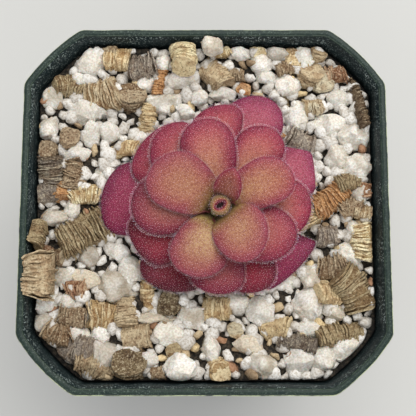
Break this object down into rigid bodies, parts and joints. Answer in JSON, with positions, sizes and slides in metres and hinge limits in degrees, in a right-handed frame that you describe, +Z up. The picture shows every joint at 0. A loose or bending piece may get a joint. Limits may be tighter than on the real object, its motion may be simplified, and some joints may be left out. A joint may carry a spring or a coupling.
{
  "type": "butterwort in a pot",
  "caption": "Butterwort rosette of overlapping round fleshy leaves, growing in a perlite and vermiculite mix in a square plastic nursery pot with cut corners.",
  "frame": {"origin": "middle of the pot's foot, on the surface that it stands on", "axes": "+Z up, -Y is the front, the pot's sides lie along X and Y"},
  "size_m": [0.076, 0.076, 0.0786],
  "materials": {
    "pot": "dark green moulded plastic, half gloss, lightly dusted inside",
    "growing_mix": "dry white perlite lumps and layered golden and brown vermiculite flakes",
    "crown": "fleshy, olive green",
    "leaf_bud": "fleshy, downy, tan with a dark red heart",
    "leaf_young": "fleshy, covered in fine sticky hairs",
    "leaf_inner": "fleshy, salmon to olive, covered in fine sticky hairs",
    "leaf_middle": "fleshy, rose red, covered in fine sticky hairs",
    "leaf_outer": "fleshy, crimson, covered in fine sticky hairs",
    "leaf_oldest": "fleshy, purple, covered in fine sticky hairs"
  },
  "bodies": {
    "root": {"pot": "pot", "growing_mix": "growing_mix", "crown": "crown", "leaf_bud": "leaf_bud", "leaf_young": "leaf_young", "leaf_inner_1": "leaf_inner", "leaf_inner_2": "leaf_inner", "leaf_inner_3": "leaf_inner", "leaf_inner_4": "leaf_inner", "leaf_middle_1": "leaf_middle", "leaf_middle_2": "leaf_middle", "leaf_middle_3": "leaf_middle", "leaf_middle_4": "leaf_middle", "leaf_middle_5": "leaf_middle", "leaf_middle_6": "leaf_middle", "leaf_outer_1": "leaf_outer", "leaf_outer_2": "leaf_outer", "leaf_outer_3": "leaf_outer", "leaf_outer_4": "leaf_outer", "leaf_outer_5": "leaf_outer", "leaf_oldest_1": "leaf_oldest", "leaf_oldest_2": "leaf_oldest", "leaf_oldest_3": "leaf_oldest", "leaf_oldest_4": "leaf_oldest", "leaf_oldest_5": "leaf_oldest"}
  },
  "joints": []
}
